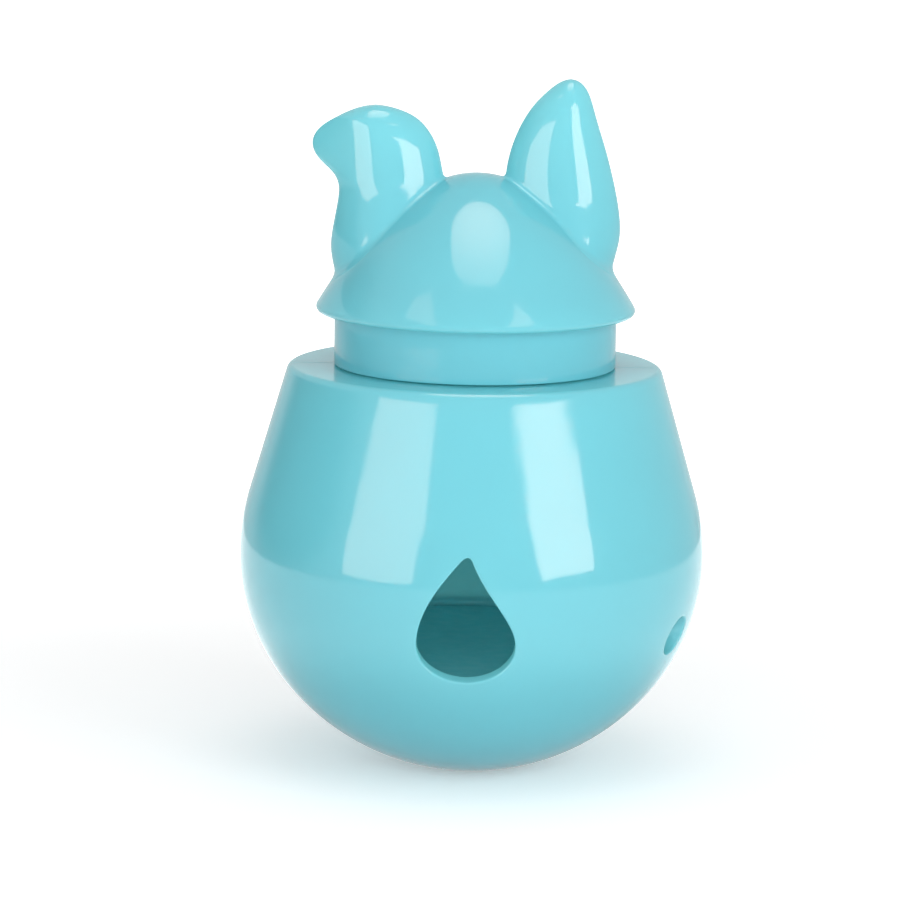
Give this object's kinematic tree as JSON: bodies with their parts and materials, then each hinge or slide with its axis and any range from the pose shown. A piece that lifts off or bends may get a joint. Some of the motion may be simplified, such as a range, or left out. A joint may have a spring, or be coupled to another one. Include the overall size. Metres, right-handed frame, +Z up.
{
  "type": "slow feeder toy",
  "caption": "Roly-poly slow feeder: a weighted round plastic body with a drop-shaped outlet and a small side hole for kibble, closed by a screw-on domed lid with animal ears.",
  "frame": {"origin": "middle of the low foot pad that the toy stands on", "axes": "+Z up along the body's axis, -Y to the front where the drop-shaped outlet is, +X to the right of someone facing the front"},
  "size_m": [0.072, 0.0719, 0.1074],
  "materials": {
    "shell_plastic": "glossy injection-moulded turquoise",
    "inner_plastic": "satin injection-moulded turquoise",
    "cast_weight": "as cast",
    "screw_steel": "zinc plated",
    "seal_silicone": "matt translucent white silicone"
  },
  "bodies": {
    "body": {"front_shell": "shell_plastic", "rear_shell": "shell_plastic", "floor_disc": "inner_plastic", "counterweight": "cast_weight", "weight_screw": "screw_steel"},
    "seal": {"lid_seal": "seal_silicone"},
    "lid": {"lid_cap": "shell_plastic", "lid_liner": "inner_plastic", "left_ear": "shell_plastic", "right_ear": "shell_plastic", "ear_screws": "screw_steel"}
  },
  "joints": [
    {"name": "lid_lift", "type": "slide", "parent": "body", "child": "seal", "axis": [0, 0, 1], "range_m": [0, 0.009]},
    {"name": "lid_turn", "type": "hinge", "parent": "seal", "child": "lid", "pos_m": [0, 0, 0.0702], "axis": [0, 0, 1], "range_deg": [0, 540]}
  ],
  "couplings": [
    {"joint": "lid_lift", "follows": "lid_turn", "m_per_rad": 0.00095493}
  ]
}
